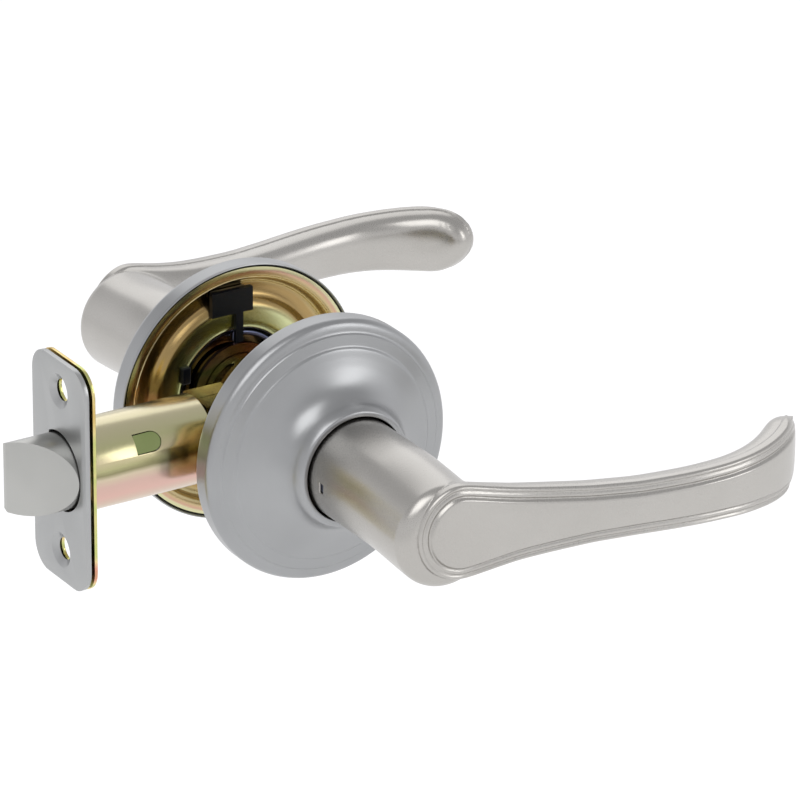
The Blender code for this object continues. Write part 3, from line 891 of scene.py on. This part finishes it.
def liner_mesh(hole_r):
    """Pressed plate with a rolled rim, a channel, the raised rib, the spring well and the hub."""
    outer = [(10.2, 11.9), (11.1, 11.9), (11.2, 9.2), (12.0, 8.5), (15.0, 8.5), (16.2, 7.6)]
    outer += [(16.3, 4.2), (17.0, 3.4), (22.0, 3.4), (23.6, 4.8), (28.4, 4.8), (29.8, 3.7)]
    outer += [(30.2, 2.2), (31.9, 1.5), (32.3, 1.0), (32.2, 0.5), (31.5, 0.35), (29.7, 0.5)]
    outer += [(28.9, 1.5), (28.6, 3.0), (27.6, 3.8), (25.0, 3.8), (23.9, 3.4), (23.0, 2.5)]
    outer += [(21.8, 1.75), (19.2, 1.55), (16.8, 1.75), (15.7, 2.4), (15.5, 3.4), (15.45, 6.8)]
    outer += [(14.8, 7.4), (10.4, 7.4), (10.2, 7.7)]
    base = turned(smooth_profile(outer + outer[:1], 0.5)[:-1], 128, closed=True)
    cuts = [cone((x, 0, -2), (x, 0, 12), hole_r) for x in (-POST_X, POST_X)]
    cuts.append(block(NOTCH_LOW, NOTCH_HIGH))
    return worked(base, cuts)


def spring_tab(up):
    """The black tab that stands between the spring's well and the rib."""
    x0, y0, z0 = TAB_LOW
    x1, y1, z1 = TAB_HIGH
    ends = sorted((up * y0, up * y1))
    return worked(block((x0, ends[0], z0), (x1, ends[1], z1)), bevel=0.4)


def trims():
    for side, name in SIDES:
        where = side_matrix(side)
        mesh = rosette_mesh()
        mesh.transform(where)
        rose = name + "_rosette"
        piece(rose + "_spun", mesh, ROSE, "chassis", rose)
        liner = name + "_liner"
        mesh = liner_mesh(POST_HOLE_R[name])
        mesh.transform(where)
        tab = spring_tab(-side)
        tab.transform(where)
        piece(name + "_spring_tab", tab, BLACK, "chassis", None)
        # The liner's material paints a shade ring under the spring and a highlight ring on the rib.
        piece(liner + "_pressed", mesh, LINER_GOLD_PAINTED_LIGHT, "chassis", liner)


# ---------------------------------------------------------------- latch

PLATE_CORNER = 6.35
PLATE_BEVEL = 0.16
HOLE_Z = 20.65
FACE_HOLE_R = 2.6
BACK_HOLE_R = 3.4
# Countersink of the face's holes, at its wide end and its narrow end.
SINK_R = 5.3
SINK_END_R = 2.3
BOLT_GAP = 0.6
BOLT_BEVEL = 0.55
TUBE_GAP = 0.3
TUBE_WALL = 0.9
TUBE_BEVEL = 0.12
# How far a cutter reaches past what it cuts.
PAST = 2
# Slot in the bolt's tail for the drawbar: where it starts, and its half-sizes.
SLOT_X = -67.2
SLOT_HALF_Y = 1.05
SLOT_HALF_Z = 6.0
MOUTH_X = -60
MOUTH_HALF_Z = 3.6
# The D-shaped lances pressed into the tube, near side and far side.
LANCE_X = -41.5
LANCE_HALF = 2.6
LANCE_GAP = 0.25
LANCE_ANGLES = (-36, 144)
LANCE_TILT = math.radians(-7)


def plate_outline():
    """A rectangle with round corners, as (y, z) points."""
    y = PLATE_HIGH.y - PLATE_CORNER
    z = PLATE_HIGH.z - PLATE_CORNER
    outline = []
    for cy, cz, start in ((y, z, 0), (-y, z, 90), (-y, -z, 180), (y, -z, 270)):
        outline += arc(cy, cz, PLATE_CORNER, start, start + 90, 20)
    return outline


def d_outline(radius, flat):
    """A circle cut off straight at y = flat."""
    start = math.degrees(math.acos(flat / radius))
    return arc(0, 0, radius, start, 360 - start, 80)


def plates():
    low, high = PLATE_LOW.x, PLATE_HIGH.x
    opening = d_outline(BOLT_HIGH.z + BOLT_GAP, BOLT_HIGH.y + BOLT_GAP)
    cuts = [prism(opening, low - PAST, high + PAST)]
    for z in (-HOLE_Z, HOLE_Z):
        cuts.append(cone((low - PAST, 0, z), (high + PAST, 0, z), FACE_HOLE_R))
        cuts.append(cone((low - 0.6, 0, z), (low + 1.5, 0, z), SINK_R, SINK_END_R))
    face = worked(prism(plate_outline(), low, high), cuts, bevel=PLATE_BEVEL)
    piece("latch_faceplate_stamped", face, PLATE, "chassis", "latch_faceplate")
    low, high = BACK_LOW.x, BACK_HIGH.x
    radius = TUBE_HIGH.z + TUBE_GAP
    cuts = [cone((low - PAST, 0, 0), (high + PAST, 0, 0), radius, sides=96)]
    for z in (-HOLE_Z, HOLE_Z):
        cuts.append(cone((low - PAST, 0, z), (high + PAST, 0, z), BACK_HOLE_R))
    back = worked(prism(plate_outline(), low, high), cuts, bevel=PLATE_BEVEL)
    piece("latch_backplate_stamped", back, GOLD, "chassis", "latch_backplate")


def bolt():
    """Cast bolt: D-section, one sloping face and softly rounded corners."""
    nose = BOLT_LOW.x
    tail = BOLT_HIGH.x
    flat = BOLT_HIGH.y
    radius = BOLT_HIGH.z
    back = PLATE_LOW.x + 0.6
    wedge = prism([(nose - 1, flat - 0.4), (back, -radius - 0.6), (nose - 8, -radius - 8)], 0, 1)
    # The wedge's outline is (x, y), so it is turned to stand along Z and stretched past the bolt.
    tall = 30
    stand = Matrix(((0, 1, 0, 0), (0, 0, 1, 0), (tall, 0, 0, -tall / 2 * MM), (0, 0, 0, 1)))
    wedge.transform(stand)
    pocket = block((SLOT_X, -SLOT_HALF_Y, -SLOT_HALF_Z), (tail - 1.5, SLOT_HALF_Y, SLOT_HALF_Z))
    mouth = block((MOUTH_X, -SLOT_HALF_Y, -MOUTH_HALF_Z), (tail + 1, SLOT_HALF_Y, MOUTH_HALF_Z))
    mesh = worked(prism(d_outline(radius, flat), nose, tail), [wedge, pocket, mouth], BOLT_BEVEL)
    piece("latch_bolt_cast", mesh, BOLT, "bolt_group", "latch_bolt", 40)


def lance_outline(half):
    """A D on its back: flat at the low end and round at the high one, as (x, z) points."""
    low = LANCE_X - half - 0.6
    high = LANCE_X + 1.2
    outline = [(low, -half), (high, -half)]
    outline += arc(high, 0, half, -90, 90, 16)[1:-1]
    return outline + [(high, half), (low, half)]


def tube():
    """Rolled tube with rounded ends, and a lance pressed into its near side and its far side."""
    r = TUBE_HIGH.z
    low, high = TUBE_LOW.x, TUBE_HIGH.x
    bore = r - TUBE_WALL
    outline = [(bore, high - 0.2), (r - 0.6, high), (r - 0.3, high), (r, high - 0.3)]
    outline += [(r, low + 0.1), (r - 0.1, low), (bore, low)]
    mesh = turned(outline, 128, closed=True)
    mesh.transform(Matrix.Rotation(math.pi / 2, 4, "Y"))
    pivot = Matrix.Translation((LANCE_X * MM, -r * MM, 0))
    tilt = pivot @ Matrix.Rotation(LANCE_TILT, 4, "Z") @ pivot.inverted()
    cuts = []
    for angle in LANCE_ANGLES:
        turn = Matrix.Rotation(math.radians(angle), 4, "X")
        cut = prism(lance_outline(LANCE_HALF), -r - 2, -r + 1.6, "Y")
        cut.transform(turn)
        cuts.append(cut)
        flap = prism(lance_outline(LANCE_HALF - LANCE_GAP), -r + 0.35, -r + 0.75, "Y")
        flap.transform(turn @ tilt)
        piece(f"latch_tube_lance{angle}", flap, LANCE, "chassis", None)
    mesh = worked(mesh, cuts, TUBE_BEVEL)
    # The tube's material paints a pink reflection low down, a dark band above the middle and a cream
    # highlight along the top.
    piece("latch_tube_rolled", mesh, TUBE_GOLD_PAINTED_LIGHT, "chassis", "latch_tube")


# ---------------------------------------------------------------- springs and small pieces

RETURN_R = 14.4
RETURN_TURNS = 2.0
RETURN_LOW = 3.2
RETURN_HIGH = 6.5
RETURN_WIRE = 0.75
# How far in the ends of its wire turn, as a share of the coil's radius.
RETURN_END = 0.88
COIL_TURNS = 7
# Material of each CAD node that is kept as it is, by a word in its name.
FINISH = {
    "drive_sleeve": DARK_GOLD,
    "driver_plate": DARK_GOLD,
    "stop_block": BLACK,
    "retaining_ring": STEEL,
    "lever_catch": SPRING,
    "post": GOLD,
    "screw": GOLD,
    "spindle": STEEL,
    "spring_seat": STEEL,
    "drawbar": GOLD,
    "latch_cam": STEEL,
    "cam_case": DARK_GOLD,
}
MOULDED_EDGE = 0.45
METAL_EDGE = 0.12


def return_springs():
    """Torsion coils whose ends turn in at 12 o'clock."""
    for side, name in SIDES:
        count = 180
        points = []
        for i in range(count + 1):
            angle = math.radians(-90 * side) + math.tau * RETURN_TURNS * (i / count - 0.5)
            height = RETURN_LOW + (RETURN_HIGH - RETURN_LOW) * i / count
            points.append((RETURN_R * math.cos(angle), RETURN_R * math.sin(angle), height))
        first, last = (
            (x * RETURN_END, y * RETURN_END, z) for x, y, z in (points[0], points[-1])
        )
        mesh = wire([first, *points, last], RETURN_WIRE)
        mesh.transform(side_matrix(side))
        node = name + "_return_spring"
        piece(node + "_coil", mesh, SPRING, "chassis", node, 60)


def coil(node, body, centre, radius, thick, inset):
    """A compression spring along X with closed ends, its wire's middle inset from its CAD node."""
    low, high = (corner[0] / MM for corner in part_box(node))
    low += inset
    high -= inset
    count = COIL_TURNS * 36
    ends = (0, 1 / COIL_TURNS, 1 - 1 / COIL_TURNS, 1)
    points = []
    for i in range(count + 1):
        t = i / count
        angle = math.tau * COIL_TURNS * t
        x = low + (high - low) * np.interp(t, ends, (0, 0.04, 0.96, 1))
        points.append((x, centre + radius * math.cos(angle), radius * math.sin(angle)))
    piece(node + "_coil", wire(points, thick), STEEL, body, node, 60)


def springs():
    return_springs()
    coil("bolt_spring", "chassis", 0, radius=8.6, thick=0.5, inset=0.6)
    for side, name in SIDES:
        centre = side * (DOOR_HALF + CATCH_W)
        body = name + "_lever_group"
        coil(name + "_catch_spring", body, centre, radius=1.6, thick=0.28, inset=0.35)


def carried_nodes():
    """CAD nodes whose shape is right: each gets its material and softened edges."""
    for node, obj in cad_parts.items():
        for word, mat in FINISH.items():
            if word in node:
                obj.material_slots[0].material = mat
                soften(obj, MOULDED_EDGE if mat is BLACK else METAL_EDGE, 40)


camera()
studio()
levers()
trims()
plates()
bolt()
tube()
springs()
carried_nodes()
